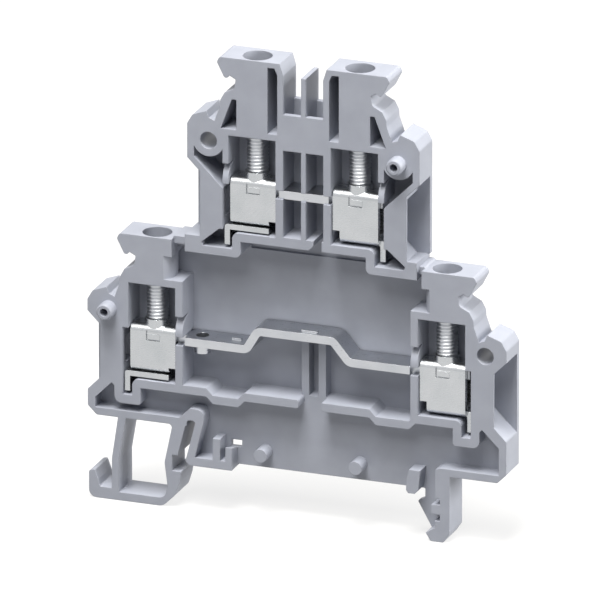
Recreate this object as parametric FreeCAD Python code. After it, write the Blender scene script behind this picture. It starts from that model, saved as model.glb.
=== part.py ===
import FreeCAD, Part
import math
import os
from collections import namedtuple
from FreeCAD import Vector

# Double level feed-through terminal block for a 35 mm mounting rail.
# Millimetres. X runs along the conductors, Y across the row of blocks, Z away from the rail.
# The origin is the middle of the rail seat, at half the width of the block.
# The moulding is open to -Y. It carries two current bars, four folded clamp cages and four screws.

# Working values of the model: how far fused pieces run into each other, and cutters past a face
OVERLAP = 0.1
THROUGH = 1.0

# Rounds in the corners of the moulding
FINE_ROUND = 0.2
ROUND = 0.4
WIDE_ROUND = 1.0

# Whole block
BODY_WIDTH = 5.0
BACK_WALL = 0.8
BODY_DEPTH = 2.3
BODY_RISE = 0.25
RIB = 1.05
RAIL_WIDTH = 35.0
RAIL_PLAY = 0.2
RAIL_SHEET = 1.0

# Places of the four clamping stations, given by the top face of each current bar
LOWER_BAR_TOP = 18.0
TIER_PITCH = 22.6
UPPER_CENTRE = 1.14
UPPER_HALF_SPAN = 7.26
LOWER_CENTRE = 0.17
LOWER_HALF_SPAN = 20.6
AXIS_DEPTH = 2.25

# Clamping screw
THREAD_DIAMETER = 2.94
HEAD_DIAMETER = 3.4
HEAD_HEIGHT = 1.8
HEAD_SEAT = 8.6
SLOT_WIDTH = 0.6
SLOT_DEPTH = 0.9
TIP_DIAMETER = 2.2
TIP_LENGTH = 0.5
TIP_GAP = 0.03
SEAT_GAP = 0.05
SHANK_PLAY = 0.1
HEAD_PLAY = 0.08
DRIVER_BORE = 4.0
DRIVER_STEP = 0.3
THREAD_PLAY = 0.03

# Clamp cage, folded from one strip of sheet
CAGE_LENGTH = 6.46
CAGE_DEPTH = 3.7
CAGE_HEIGHT = 7.4
CAGE_SHEET = 0.75
CAGE_BEND = 0.2
CAGE_RISE = 0.95
CAGE_TRAVEL = 2.5
SEAM_GAP = 0.05
CAGE_NOTCH_LENGTH = 1.0
CAGE_NOTCH_HEIGHT = 1.75
CAGE_TONGUE = 0.8
LEG_DROP = 2.15
LEG_WIDTH = 3.0
COLLAR_HEIGHT = 0.85
COLLAR_WALL = 0.17
LANCE_LENGTH = 1.95
LANCE_HEIGHT = 1.1
LANCE_RISE = 0.3
LANCE_CUT = 0.2
LANCE_DEPTH = 0.25
LANCE_PROUD = 0.06
LANCE_DROP = 0.1

# Current bars
BAR_SHEET = 1.15
BAR_WIDTH = 3.7
BAR_EDGE = 0.3
NECK_PLAY = 0.1
NECK_REACH = 3.55
UPPER_SHOULDER = 3.75
LOWER_SHOULDER = 4.6
HAT_RISE = 2.75
HAT_LENGTH = 11.3
HAT_SHIFT = -0.32
LEFT_RUN = 1.6
RIGHT_RUN = 2.3
HAT_RADIUS = 1.0
BUTTON_SHARE = 0.22
BUTTON_DIAMETER = 2.2
BUTTON_HEIGHT = 1.2
BUTTON_WALL = 0.2
NIB_WIDTH = 0.6
NIB_HEIGHT = 0.3
HAT_NIB_LENGTH = 2.2
HAT_NIB_SHARE = 0.665
HAT_NIB_DEPTH = 0.5
FLAT_NIB_LENGTH = 1.3
FLAT_NIB_SHARE = 0.81
FLAT_NIB_DEPTH = 1.45

# Chamber round each cage
CHAMBER_PLAY = 0.12
CHAMBER_TOP = 6.95
SHELF_PLAY = 0.25
SHELF = 1.2
SHELF_ROUND = 0.9
LEG_PLAY = 0.15
LEG_ROOM = 0.45
POST_GAP = 2.45
TONGUE_FOOT = 0.5
BAR_PLAY = 0.05

# Screw towers, hooks and ears, measured outward from the screw axis and down from the tower top
UPPER_TOWER = 17.9
LOWER_TOWER = 13.8
UPPER_INNER = 4.43
LOWER_INNER = 2.85
TOWER_CHAMFER = 0.5
TOWER_CHAMFER_DROP = 1.6
HOOK_PROFILE = ((4.6, 0.0, 0.5), (4.97, 0.75, 0.5), (3.75, 3.15, 0.4), (3.15, 2.5), (2.3, 2.95, 0.15),
                (2.5, 4.3, 0.7), (3.9, 5.0), (4.5, 6.1, 0.8), (4.55, 7.0))
EAR_REACH = 9.2
EAR_PROFILE = ((5.3, 9.1), (6.1, 8.8), (6.5, 7.9), (EAR_REACH - 0.75, 8.6, 0.6), (EAR_REACH, 9.9, 0.6))
UPPER_EAR_FOOT = 3.2
LOWER_EAR_FOOT = 2.3
WEB_REACH = 7.4
UPPER_FLARE = -6.3
LOWER_FLARE = -7.1
CAP_HEIGHT = 2.5
NECK_RADIUS = 2.8
NECK_FRONT = 1.65
NECK_HEIGHT = 3.3
BORE_WALL = 0.2

# Pockets that save material in the upper towers
POCKET_FLOOR = 7.85
SLOT_POCKET_TOP = 17.15
SLOT_POCKET_REACH = 3.6
SLOT_POCKET_CUT = 0.4
SLOT_POCKET_CUT_DROP = 0.9
WEDGE_TOP = 12.1
WEDGE_TOP_REACH = 2.85
WEDGE_FOOT_REACH = 4.45
BOSS_RADIUS = 2.24
BOSS_REACH = 6.18
UPPER_BOSS = 5.9
LOWER_BOSS = 2.9
CRESCENT_TOP = 4.9
CRESCENT_REACH = 8.25
CRESCENT_FOOT = 3.45

# Pegs and sockets that line up neighbouring blocks
PEG_RADIUS = 1.15
PEG_HOLE_RADIUS = 0.55
PEG_HEIGHT = 1.8
PEG_CHAMFER = 0.2
PEG_HOLE_DEPTH = 2.8
SOCKET_PLAY = 0.05

# Wire funnels behind the front webs
FUNNEL_LIP = 0.25
FUNNEL_ROOT = 1.15

# Middle of the upper tier
GAP_FLOOR = 10.8
GAP_WEB = 0.8
PLATE_TOP = 11.8
CENTRE_RIB_TOP = 16.2
CENTRE_RIB_X = 0.85
CENTRE_RIB = 0.65
MIDDLE_POCKET_TOP = 5.75
MIDDLE_POCKET_FLOOR = -6.5
SHELF_BREAK_X = 1.92
SHELF_BREAK = 1.85
SHELF_BREAK_STEP = 0.7
RELIEF_DEPTH = 0.3
RELIEF_HEIGHT = 2.2

# Arms between the tiers
ARM_TOP = -7.75
ARM_UNDERSIDE = -10.2
LINK_LEFT = 1.88
LINK_RIGHT = 0.92
LINK_DEPTH = 1.9
LINK_TOP = -9.1

# Leg channels under the cages
CHANNEL_WALL = 1.2
CHANNEL_FLOOR = 1.3
CHANNEL_ROUND = 0.8
TOE_TOP = 0.3
TOE_START = 0.5
TOE_END = 0.2

# Lower body
LEFT_UNDERSIDE = 5.55
RIGHT_UNDERSIDE = 3.15
CORNER_CUT = 1.25
POCKET_ROOF = 0.3
POCKET_STEP = 0.4
POCKET_DROP = 2.37
PLATE_LAP = 1.5
SHELF_DIP = 0.95
LEFT_DIP = (4.3, 9.8)
RIGHT_DIP = (0.2, 6.8)
LEFT_SHELF_END = 0.5
RIGHT_SHELF_END = 3.77
PROP_X = 0.1
PROP_PITCH = 2.4
STUD_RADIUS = 0.95
STUD_Z = 2.6
LEFT_STUD_X = -5.0
RIGHT_STUD_X = 8.5

# Foot on the left. Profiles give X inward from the edge of the rail and Z up from its seat.
FOOT_UNDERSIDE = -6.3
FOOT_FLOOR = 1.15
RAIL_GRIP = 0.1
HINGE_X = 0.8
HINGE_SLOT = 1.35
HINGE_LEAN = 1.3
HINGE_TOP = 6.4
HINGE_FOOT = 1.2
HINGE_WALL = 1.1
ARCH_START = 2.4
ARCH_RISE = 1.5
SEAT_END = 8.55
POST_X = 5.85
POST_TOP = 4.25
STEP_X = 7.65
STEP_TOP = 3.2
WINDOW_X = 7.65
WINDOW_Z = 2.65
WINDOW_LENGTH = 1.55
WINDOW_HEIGHT = 1.0
LEDGE_REACH = 1.3
TIP_PROFILE = ((LEDGE_REACH - 0.2, -2.6), (0.5, -4.5, 1.0), (-1.3, FOOT_UNDERSIDE, 1.5))
FOOT_REACH = -11.9
FOOT_WALL_X = -7.6
FOOT_WALL = 1.0
FOOT_SHIFT = 1.0
FOOT_KNEE = -0.4
KNEE_ROUND = 2.0
TOE_PROFILE = ((0, FOOT_UNDERSIDE, 1.1), (0, -2.5, 0.4), (0.8, -2.35, 0.2), (1.3, -3.7, 0.4),
               (1.55, FOOT_UNDERSIDE + 1.6, 0.3))
ROOM_PROFILE = ((0.1, LEFT_UNDERSIDE, 0.5), (-1.05, 0.0, 2.0), (-0.6, -3.6),
                (-1.1, FOOT_UNDERSIDE + FOOT_FLOOR, 1.0))

# Foot on the right: jaw and stop inward from the edge of the rail, teeth and foot outward from the leg
JAW_TIP = (0.95, -1.65, 0.2)
JAW_ROOT = 0.8
STOP_PROFILE = ((1.8, 0.5), (1.8, 2.1), (1.4, 3.45), (-0.2, 3.45), (0.1, 0.6), (0.6, 0.1), (1.5, 0.1))
LEG_X = 2.3
LEG_LENGTH = 2.05
LEG_LAP = 0.3
LEG_NOTCH = 0.7
LEG_TOOTH = 0.55
LEG_FOOT_PROFILE = ((LEG_LENGTH, 1.3, 0.6), (1.2, 0, 0.3), (-0.6, 0, 0.4), (-1.3, 1.1), (0, 1.9))
LEG_TEETH = ((0, -3.35), (LEG_NOTCH, -3.35), (LEG_NOTCH, -2.4), (-LEG_TOOTH, -2.4), (-LEG_TOOTH, -1.15),
             (0, -1.05), (LEG_NOTCH, -1.05), (LEG_NOTCH, -0.1), (0, -0.1))

FRONT = -BODY_WIDTH / 2
BACK = BODY_WIDTH / 2
PLATE = BACK - BACK_WALL
BODY_FRONT = FRONT + BODY_DEPTH
BODY_BACK = BODY_FRONT + BACK_WALL
AXIS_Y = FRONT + AXIS_DEPTH
BAR_FRONT = FRONT + BAR_EDGE
BAR_BACK = BAR_FRONT + BAR_WIDTH
UPPER_BAR_TOP = LOWER_BAR_TOP + TIER_PITCH
CAGE_FLOOR = CAGE_RISE - CAGE_HEIGHT
SHELF_TOP = CAGE_FLOOR - SHELF_PLAY
SHELF_UNDER = SHELF_TOP - SHELF
SHELF_MIDDLE = LOWER_BAR_TOP + SHELF_TOP - (SHELF + SHELF_DIP) / 2
CHAMBER_HALF = CAGE_LENGTH / 2 + CHAMBER_PLAY
SLIT = CAGE_LENGTH / 2 + CAGE_TONGUE + LEG_PLAY
CHANNEL_BOTTOM = CAGE_FLOOR - LEG_DROP - LEG_ROOM
CHANNEL_SIDE = CAGE_LENGTH / 2 + CAGE_TONGUE - CAGE_SHEET - LEG_ROOM
RAIL_HALF = (RAIL_WIDTH + RAIL_PLAY) / 2
SOCKET_RADIUS = PEG_RADIUS + SOCKET_PLAY

# side is -1 for a station on the left and 1 on the right. Heights are taken from the bar's top face.
Station = namedtuple("Station", "name side axis bar_top tower inner ear_foot flare boss upper")
STATIONS = (
    Station("upper_left", -1, UPPER_CENTRE - UPPER_HALF_SPAN, UPPER_BAR_TOP, UPPER_TOWER,
            UPPER_INNER, UPPER_EAR_FOOT, UPPER_FLARE, UPPER_BOSS, True),
    Station("upper_right", 1, UPPER_CENTRE + UPPER_HALF_SPAN, UPPER_BAR_TOP, UPPER_TOWER,
            UPPER_INNER, UPPER_EAR_FOOT, UPPER_FLARE, UPPER_BOSS, True),
    Station("lower_left", -1, LOWER_CENTRE - LOWER_HALF_SPAN, LOWER_BAR_TOP, LOWER_TOWER,
            LOWER_INNER, LOWER_EAR_FOOT, LOWER_FLARE, LOWER_BOSS, False),
    Station("lower_right", 1, LOWER_CENTRE + LOWER_HALF_SPAN, LOWER_BAR_TOP, LOWER_TOWER,
            LOWER_INNER, LOWER_EAR_FOOT, LOWER_FLARE, LOWER_BOSS, False),
)
UPPER_LEFT, UPPER_RIGHT, LOWER_LEFT, LOWER_RIGHT = STATIONS


def corner_arc(before, corner, after, radius):
    """The arc of the given radius that rounds one corner, with its two ends."""
    to_before = (before - corner).normalize()
    to_after = (after - corner).normalize()
    half = to_before.getAngle(to_after) / 2
    start = corner + to_before * (radius / math.tan(half))
    end = corner + to_after * (radius / math.tan(half))
    inward = (to_before + to_after).normalize()
    centre = corner + inward * (radius / math.sin(half))
    return start, Part.Arc(start, centre - inward * radius, end).toShape(), end


def closed_wire(points, place):
    """A closed wire through the points. A third number on a point is the radius of its corner."""
    corners = [place(point[0], point[1]) for point in points]
    radii = [point[2] if len(point) > 2 else 0 for point in points]
    edges = []
    ends = []
    for index, corner in enumerate(corners):
        if radii[index]:
            after = corners[(index + 1) % len(corners)]
            start, arc, end = corner_arc(corners[index - 1], corner, after, radii[index])
            ends.append((start, arc, end))
        else:
            ends.append((corner, None, corner))
    for index, (start, arc, end) in enumerate(ends):
        if arc:
            edges.append(arc)
        edges.append(Part.makeLine(end, ends[(index + 1) % len(ends)][0]))
    return Part.Wire(edges)


def prism(points, y0, y1):
    """A solid on an outline of (x, z) points, from y0 to y1."""
    wire = closed_wire(points, lambda x, z: Vector(x, y0, z))
    return Part.Face(wire).extrude(Vector(0, y1 - y0, 0))


def side_prism(points, x0, x1):
    """A solid on an outline of (y, z) points, from x0 to x1."""
    wire = closed_wire(points, lambda y, z: Vector(x0, y, z))
    return Part.Face(wire).extrude(Vector(x1 - x0, 0, 0))


def plan_prism(points, z0, z1):
    """A solid on an outline of (x, y) points, from z0 to z1."""
    wire = closed_wire(points, lambda x, y: Vector(x, y, z0))
    return Part.Face(wire).extrude(Vector(0, 0, z1 - z0))


def block(x0, x1, y0, y1, z0, z1):
    """A box between two corners, given in any order."""
    size = (abs(x1 - x0), abs(y1 - y0), abs(z1 - z0))
    return Part.makeBox(*size, Vector(min(x0, x1), min(y0, y1), min(z0, z1)))


def upright(x, y, z0, z1, radius):
    """A cylinder along Z."""
    return Part.makeCylinder(radius, z1 - z0, Vector(x, y, z0), Vector(0, 0, 1))


def crosswise(x, z, y0, y1, radius):
    """A cylinder along Y."""
    return Part.makeCylinder(radius, y1 - y0, Vector(x, y0, z), Vector(0, 1, 0))


def at(station, points):
    """Points given outward from a screw axis and up from the bar's top face, placed in the block."""
    placed = []
    for point in points:
        spot = (station.axis + station.side * point[0], station.bar_top + point[1])
        placed.append(spot + tuple(point[2:]))
    return placed


def from_top(station, profile):
    """A profile given down from the tower top, as heights from the bar's top face."""
    return [(point[0], station.tower - point[1]) + tuple(point[2:]) for point in profile]


def tower_side(station):
    """The outer side of a tower: hook, groove, ear and the edge of the front web."""
    foot = station.ear_foot
    edge = from_top(station, HOOK_PROFILE) + from_top(station, EAR_PROFILE)
    edge += [(EAR_REACH, foot), (WEB_REACH, foot - (EAR_REACH - WEB_REACH)), (WEB_REACH, station.flare)]
    return edge


def flare_foot(station):
    """The height where the flare under the front web reaches the outer wall."""
    return station.flare - (EAR_REACH - WEB_REACH)


def upper_block(station):
    """The solid front outline of an upper station, before its chambers are cut."""
    inner = [(-station.inner, station.tower - TOWER_CHAMFER_DROP),
             (TOWER_CHAMFER - station.inner, station.tower)]
    flare_out = WEB_REACH + station.flare - ARM_TOP
    channel = CHANNEL_SIDE - CHANNEL_WALL
    bottom = [(flare_out, ARM_TOP), (flare_out, ARM_UNDERSIDE), (channel, ARM_UNDERSIDE, CHANNEL_ROUND),
              (channel, SHELF_UNDER), (-station.inner, SHELF_UNDER)]
    return prism(at(station, inner + tower_side(station) + bottom), FRONT, BACK)


def lower_block(station, underside):
    """The solid front outline of a lower station with the outer wall of the body."""
    under = underside - station.bar_top
    wall = CHAMBER_HALF + RIB
    neck_top = station.tower - CAP_HEIGHT
    neck_foot = neck_top - NECK_HEIGHT
    channel = CHANNEL_SIDE - CHANNEL_WALL
    channel_out = SLIT + CHANNEL_WALL
    floor = CHANNEL_BOTTOM - CHANNEL_FLOOR
    roof = SHELF_UNDER + POCKET_ROOF
    inner_x = EAR_REACH - RIB
    inner = [(-NECK_FRONT, neck_foot), (-NECK_FRONT, neck_top), (-station.inner, neck_top),
             (-station.inner, station.tower)]
    frame = [(EAR_REACH, flare_foot(station), ROUND), (EAR_REACH, under + CORNER_CUT, ROUND),
             (EAR_REACH - CORNER_CUT, under, ROUND), (EAR_REACH - 2 * CORNER_CUT, under),
             (EAR_REACH - 2 * CORNER_CUT, under + RIB), (inner_x, under + RIB)]
    pocket = [(inner_x, roof - POCKET_DROP), (channel_out + POCKET_STEP, roof),
              (channel_out, roof - POCKET_STEP)]
    leg = [(channel_out, floor, WIDE_ROUND), (channel, floor, ROUND), (channel, SHELF_UNDER),
           (-wall, SHELF_UNDER)]
    points = inner + tower_side(station) + frame + pocket + leg + [(-wall, neck_foot)]
    return prism(at(station, points), FRONT, BACK)


def neck_tube(station):
    """The round tube that carries the bore below the head of a lower tower."""
    top = station.bar_top + station.tower - CAP_HEIGHT
    foot = top - NECK_HEIGHT
    tube = upright(station.axis, AXIS_Y, foot - OVERLAP, top + OVERLAP, NECK_RADIUS)
    x0 = station.axis - NECK_RADIUS
    return tube.common(block(x0, x0 + 2 * NECK_RADIUS, FRONT, BACK, foot - THROUGH, top + THROUGH))


def chamber(station):
    """The room for the cage, the slit outside it and the channel for its leg."""
    slit_top = BAR_PLAY if station.upper else TONGUE_FOOT
    room = [(-CHAMBER_HALF, SHELF_TOP), (-CHAMBER_HALF, CHAMBER_TOP), (CHAMBER_HALF, CHAMBER_TOP),
            (CHAMBER_HALF, slit_top), (SLIT, slit_top)]
    leg = [(CHANNEL_SIDE, CHANNEL_BOTTOM), (CHANNEL_SIDE, SHELF_TOP, SHELF_ROUND)]
    out = [(SLIT, CHANNEL_BOTTOM)]
    if station.upper:
        end = WEB_REACH - TOE_END
        out = [(SLIT, SHELF_TOP + TOE_TOP), (SLIT + TOE_START, SHELF_TOP + TOE_TOP),
               (end, CHANNEL_BOTTOM + TOE_START), (end - TOE_END, CHANNEL_BOTTOM)]
    return prism(at(station, room + out + leg), FRONT, PLATE)


def rounded_gap(station):
    """The gap between the post and the tongue below it, with the tongue's rounded top."""
    inner, outer = (CHAMBER_HALF, SLIT) if station.upper else (-CHAMBER_HALF - RIB, -CHAMBER_HALF)
    x0 = station.axis + station.side * inner
    x1 = station.axis + station.side * outer
    foot = station.bar_top + TONGUE_FOOT
    gap = block(x0, x1, FRONT, FRONT + POST_GAP, foot, foot + POST_GAP)
    tongue = Part.makeCylinder(POST_GAP, abs(x1 - x0), Vector(min(x0, x1), FRONT + POST_GAP, foot),
                               Vector(1, 0, 0))
    return gap.cut(tongue)


def bar_passage(station):
    """The slot for the current bar through the inner wall of a chamber."""
    x0 = station.axis - station.side * (CHAMBER_HALF - OVERLAP)
    x1 = station.axis - station.side * (CHAMBER_HALF + RIB + OVERLAP)
    return block(x0, x1, FRONT, BAR_BACK + BAR_PLAY, station.bar_top - BAR_SHEET, station.bar_top + BAR_PLAY)


def screw_bore(station):
    """The stepped bore for the screw: shank below the seat, then the head, then the screwdriver."""
    seat = station.bar_top + HEAD_SEAT
    step = seat + SEAT_GAP + HEAD_HEIGHT + DRIVER_STEP
    low = station.bar_top + CHAMBER_TOP
    high = station.bar_top + station.tower
    shank = upright(station.axis, AXIS_Y, low - OVERLAP, seat + OVERLAP, THREAD_DIAMETER / 2 + SHANK_PLAY)
    head = upright(station.axis, AXIS_Y, seat, step + OVERLAP, HEAD_DIAMETER / 2 + HEAD_PLAY)
    driver = upright(station.axis, AXIS_Y, step, high + THROUGH, DRIVER_BORE / 2)
    return shank.fuse([head, driver])


def funnel(station):
    """The wire funnel behind the front web, wide outside and narrow at the cage."""
    ceiling = station.ear_foot - EAR_REACH
    mouth_top = -BAR_SHEET
    mouth_floor = CAGE_FLOOR + 2 * CAGE_SHEET + SEAM_GAP
    floor = station.flare + WEB_REACH
    root = SLIT - OVERLAP
    end = WEB_REACH + OVERLAP
    points = [(root, mouth_floor), (root, mouth_top), (mouth_top - ceiling, mouth_top),
              (end, end + ceiling), (end, floor - end), (floor - mouth_floor, mouth_floor)]
    x_root = station.axis + station.side * root
    x_end = station.axis + station.side * end
    plan = [(x_root, FRONT + FUNNEL_ROOT), (x_end, FRONT + FUNNEL_LIP), (x_end, PLATE), (x_root, PLATE)]
    taper = plan_prism(plan, station.bar_top + floor - end - THROUGH, station.bar_top + THROUGH)
    return prism(at(station, points), FRONT, BACK).common(taper)


def tower_pockets(station):
    """The slot, wedge and crescent pockets of an upper station."""
    near = DRIVER_BORE / 2 + BORE_WALL
    slot = [(-near, POCKET_FLOOR), (-SLOT_POCKET_REACH, POCKET_FLOOR),
            (-SLOT_POCKET_REACH, SLOT_POCKET_TOP - SLOT_POCKET_CUT_DROP),
            (SLOT_POCKET_CUT - SLOT_POCKET_REACH, SLOT_POCKET_TOP), (-near, SLOT_POCKET_TOP)]
    wedge = [(near, POCKET_FLOOR), (near, WEDGE_TOP), (WEDGE_TOP_REACH, WEDGE_TOP),
             (WEDGE_FOOT_REACH, POCKET_FLOOR)]
    crescent = [(SLIT, CRESCENT_TOP), (CRESCENT_REACH, CRESCENT_TOP), (CRESCENT_REACH, CRESCENT_FOOT),
                (SLIT, CRESCENT_FOOT - (CRESCENT_REACH - SLIT))]
    boss_x, boss_z = at(station, [(BOSS_REACH, station.boss)])[0]
    boss = crosswise(boss_x, boss_z, FRONT, BACK, BOSS_RADIUS)
    pockets = [prism(at(station, slot), FRONT, PLATE), prism(at(station, wedge), FRONT, PLATE)]
    pockets.append(prism(at(station, crescent), FRONT, PLATE).cut(boss))
    return pockets


def peg(station):
    """A hollow peg on the open side that enters the neighbouring block."""
    x, z = at(station, [(BOSS_REACH, station.boss)])[0]
    end = FRONT - PEG_HEIGHT
    body = crosswise(x, z, end, FRONT + OVERLAP, PEG_RADIUS)
    rim = [edge for edge in body.Edges if edge.BoundBox.YMax < end + OVERLAP and edge.BoundBox.XLength > 0]
    return body.makeChamfer(PEG_CHAMFER, rim)


def peg_hole(station):
    """The blind hole in a peg."""
    x, z = at(station, [(BOSS_REACH, station.boss)])[0]
    end = FRONT - PEG_HEIGHT
    return crosswise(x, z, end - THROUGH, end + PEG_HOLE_DEPTH, PEG_HOLE_RADIUS)


def socket(station):
    """The hole that takes the peg of the neighbouring block."""
    x, z = at(station, [(BOSS_REACH, station.boss)])[0]
    return crosswise(x, z, FRONT - THROUGH, BACK + THROUGH, SOCKET_RADIUS)


def upper_middle():
    """The solid part and the rib between the two upper towers."""
    x0 = UPPER_LEFT.axis + UPPER_INNER - OVERLAP
    x1 = UPPER_RIGHT.axis - UPPER_INNER + OVERLAP
    foot = UPPER_BAR_TOP + SHELF_UNDER
    middle = block(x0, x1, FRONT, BACK, foot, UPPER_BAR_TOP + GAP_FLOOR)
    plate = block(x0, x1, PLATE, BACK, foot, UPPER_BAR_TOP + PLATE_TOP)
    rib_end = CENTRE_RIB_X + CENTRE_RIB
    rib_top = UPPER_BAR_TOP + CENTRE_RIB_TOP
    rib = block(CENTRE_RIB_X, rib_end, FRONT, BACK, foot, rib_top)
    return middle.fuse([plate, rib])


def middle_pockets():
    """The pockets below and above, beside the centre rib, the bar's way and the break in the shelf."""
    foot = UPPER_BAR_TOP + SHELF_UNDER
    low = UPPER_BAR_TOP + MIDDLE_POCKET_FLOOR
    high = UPPER_BAR_TOP + MIDDLE_POCKET_TOP
    left = UPPER_LEFT.axis + CHAMBER_HALF + RIB
    right = UPPER_RIGHT.axis - CHAMBER_HALF - RIB
    rib_end = CENTRE_RIB_X + CENTRE_RIB
    cuts = [block(left, CENTRE_RIB_X, FRONT, PLATE, low, high)]
    cuts.append(block(rib_end, right, FRONT, PLATE, low, high))
    cuts.append(block(CENTRE_RIB_X - OVERLAP, rib_end + OVERLAP, FRONT, BAR_BACK + BAR_PLAY,
                      UPPER_BAR_TOP - BAR_SHEET, UPPER_BAR_TOP + BAR_PLAY))
    step = SHELF_BREAK_X + SHELF_BREAK_STEP
    end = SHELF_BREAK_X + SHELF_BREAK
    cuts.append(prism([(SHELF_BREAK_X, foot), (step, foot + SHELF_BREAK_STEP), (step, low + OVERLAP),
                       (end, low + OVERLAP), (end, foot)], FRONT, PLATE))
    core_foot = high + RIB
    core_top = UPPER_BAR_TOP + GAP_FLOOR + OVERLAP
    for x0, x1 in ((UPPER_LEFT.axis + UPPER_INNER, CENTRE_RIB_X), (rib_end, UPPER_RIGHT.axis - UPPER_INNER)):
        cuts.append(block(x0, x1, FRONT + GAP_WEB, PLATE, core_foot, core_top))
    relief_left = UPPER_LEFT.axis - CHANNEL_SIDE + CHANNEL_WALL
    relief_right = UPPER_RIGHT.axis + CHANNEL_SIDE - CHANNEL_WALL
    cuts.append(block(relief_left, relief_right, PLATE - OVERLAP, PLATE + RELIEF_DEPTH,
                      foot - RELIEF_HEIGHT, foot))
    return cuts


def arm(station, tower, link_length):
    """The arm from an upper station to the lower tower on its side, with its set-back link."""
    start = station.axis + station.side * (EAR_REACH - 2 * RIB)
    tower_x = tower.axis - tower.side * tower.inner
    end = tower_x - tower.side * link_length
    low = station.bar_top + ARM_UNDERSIDE
    beam = block(start, end, FRONT, BACK, low, station.bar_top + ARM_TOP)
    link = block(end, tower_x + tower.side * OVERLAP, FRONT + LINK_DEPTH, BACK, low,
                 station.bar_top + LINK_TOP)
    return beam.fuse(link)


def ear_plate(station):
    """The closed back behind the recess of a front web."""
    lap = WEB_REACH - PLATE_LAP
    ear = [(lap, station.ear_foot - EAR_REACH + lap), (EAR_REACH, station.ear_foot)]
    if station.upper:
        ear += [(EAR_REACH, ARM_TOP), (lap, ARM_TOP - THROUGH)]
    else:
        ear += [(EAR_REACH, flare_foot(station)), (lap, station.flare + PLATE_LAP)]
    return prism(at(station, ear), PLATE, BACK)


def channel_back(station):
    """The closed back behind the leg channel of a lower station."""
    near = CHANNEL_SIDE - CHANNEL_WALL / 2
    far = SLIT + CHANNEL_WALL / 2
    low = CHANNEL_BOTTOM - CHANNEL_FLOOR / 2
    return prism(at(station, [(near, low), (far, low), (far, SHELF_TOP), (near, SHELF_TOP)]), PLATE, BACK)


def tier_backs():
    """The closed backs of the two tiers. The lower one ends inside the thickness of the shelves."""
    shelf_z = LOWER_BAR_TOP + SHELF_TOP
    neck_z = LOWER_BAR_TOP + CHAMBER_TOP
    arm_z = UPPER_BAR_TOP + LINK_TOP
    inner_left = LOWER_LEFT.axis + NECK_FRONT
    inner_right = LOWER_RIGHT.axis - NECK_FRONT
    left = LOWER_LEFT.axis - EAR_REACH + RIB / 2
    right = LOWER_RIGHT.axis + EAR_REACH - RIB / 2
    lower = prism([(left, SHELF_MIDDLE), (right, SHELF_MIDDLE), (right, shelf_z), (inner_right, neck_z),
                   (inner_right, arm_z), (inner_left, arm_z), (inner_left, neck_z), (left, shelf_z)],
                  PLATE, BACK)
    x0 = UPPER_LEFT.axis - CHAMBER_HALF
    x1 = UPPER_RIGHT.axis + CHAMBER_HALF
    upper = block(x0, x1, PLATE, BACK, UPPER_BAR_TOP + ARM_UNDERSIDE, UPPER_BAR_TOP)
    backs = [lower, upper] + [ear_plate(station) for station in STATIONS]
    return backs + [channel_back(LOWER_LEFT), channel_back(LOWER_RIGHT)]


def corner_line(station):
    """The edge of the body plate from the outer wall up to the leg channel, inside the walls there."""
    wall = EAR_REACH - RIB / 2
    wall_top = flare_foot(station) - RIB / 2
    channel = SLIT + CHANNEL_WALL
    top = wall_top + wall - channel
    split = SHELF_MIDDLE - station.bar_top
    middle = SLIT + CHANNEL_WALL / 2
    return at(station, [(wall, wall_top), (channel, top), (middle, top), (middle, split)])


def body_plate():
    """The plate of the body below the shelves, set forward, with the jaw for the right edge of the rail."""
    left = LOWER_LEFT.axis - EAR_REACH + RIB / 2
    right = LOWER_RIGHT.axis + EAR_REACH - RIB / 2
    slot_foot = HINGE_X + HINGE_SLOT
    leg = RAIL_HALF + LEG_X
    corner = [(left, LEFT_UNDERSIDE + RIB), (left + RIB / 2, LEFT_UNDERSIDE + RIB / 2)]
    hinge = from_rail(-1, [(slot_foot + HINGE_LEAN + ROUND, LEFT_UNDERSIDE + RIB / 2),
                           (slot_foot + ROUND, HINGE_FOOT), (slot_foot + ROUND, BODY_RISE)])
    jaw = from_rail(1, [(-RAIL_GRIP, BODY_RISE, FINE_ROUND),
                        (-RAIL_GRIP, -RAIL_SHEET - RAIL_GRIP, FINE_ROUND), JAW_TIP])
    foot = [(leg - JAW_ROOT, FOOT_UNDERSIDE + LEG_LAP), (leg + LEG_LAP, FOOT_UNDERSIDE + PLATE_LAP),
            (leg + LEG_LAP, RIGHT_UNDERSIDE + RIB / 2)]
    far_corner = [(right - RIB / 2, RIGHT_UNDERSIDE + RIB / 2), (right, RIGHT_UNDERSIDE + RIB)]
    top = corner_line(LOWER_RIGHT) + corner_line(LOWER_LEFT)[::-1]
    return prism(corner + hinge + jaw + foot + far_corner + top, BODY_FRONT, BODY_BACK)


def shelf(wall, inward, dip, end, end_round):
    """A lower shelf from a wall to the middle. Its dip is given by two distances from the wall."""
    top = LOWER_BAR_TOP + SHELF_TOP
    upper = [(wall, top), (wall + inward * dip[0], top)]
    upper += [(wall + inward * (dip[0] + SHELF_DIP), top - SHELF_DIP)]
    upper += [(wall + inward * (dip[1] - SHELF_DIP), top - SHELF_DIP), (wall + inward * dip[1], top)]
    lower = [(x, z - SHELF) for x, z in reversed(upper)]
    return prism(upper + [(end, top, end_round), (end, top - SHELF, end_round)] + lower, FRONT, BACK)


def shelf_link():
    """The set-back piece of shelf between the two lower shelves. The body plate ends in it."""
    top = LOWER_BAR_TOP + SHELF_TOP
    start = LEFT_SHELF_END - ROUND - OVERLAP
    return block(start, RIGHT_SHELF_END + OVERLAP, BODY_FRONT, BACK, top - SHELF, top)


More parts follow.
